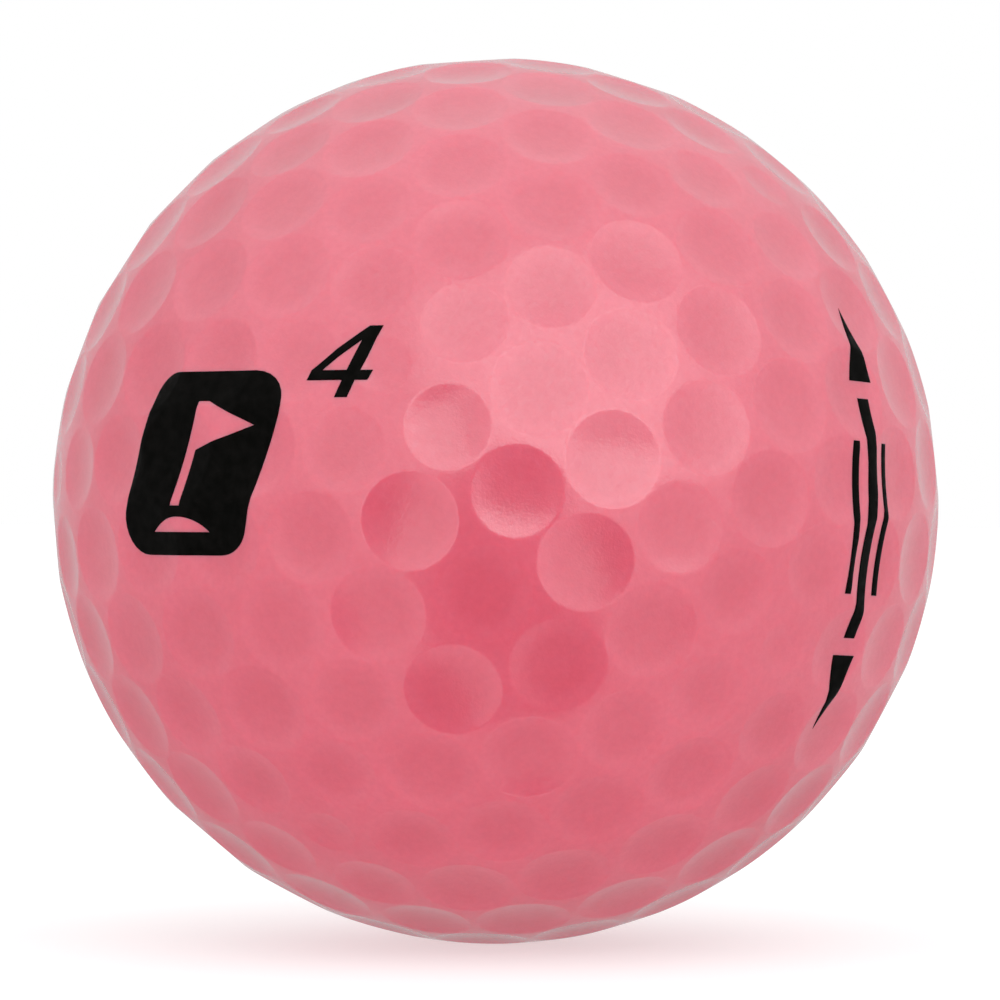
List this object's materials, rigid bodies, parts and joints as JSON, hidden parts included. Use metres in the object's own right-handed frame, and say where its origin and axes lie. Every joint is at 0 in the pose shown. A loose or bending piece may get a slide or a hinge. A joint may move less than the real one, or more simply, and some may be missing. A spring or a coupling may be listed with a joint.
{
  "type": "golf ball",
  "caption": "Dimpled golf ball: solid rubber core, moulded pink cover in two fused half shells, and printed marks on the poles and the side.",
  "frame": {"origin": "centre of the ball", "axes": "-Y and +Y through the two printed poles, Y = 0 the parting plane of the cover, +X through the side stamp, +Z towards the top of the marks"},
  "size_m": [0.0427, 0.0427, 0.0426],
  "materials": {
    "core_rubber": "solid moulded polybutadiene rubber, matt, slightly mottled",
    "cover_pink": "translucent pink ionomer with a fine satin clear lacquer",
    "ink_black": "pad-printed black ink under clear lacquer"
  },
  "bodies": {
    "root": {"core": "core_rubber", "front_cover": "cover_pink", "rear_cover": "cover_pink", "front_emblem": "ink_black", "rear_emblem": "ink_black", "front_number": "ink_black", "rear_number": "ink_black", "upper_arrow": "ink_black", "lower_arrow": "ink_black", "side_bars": "ink_black"}
  },
  "joints": []
}
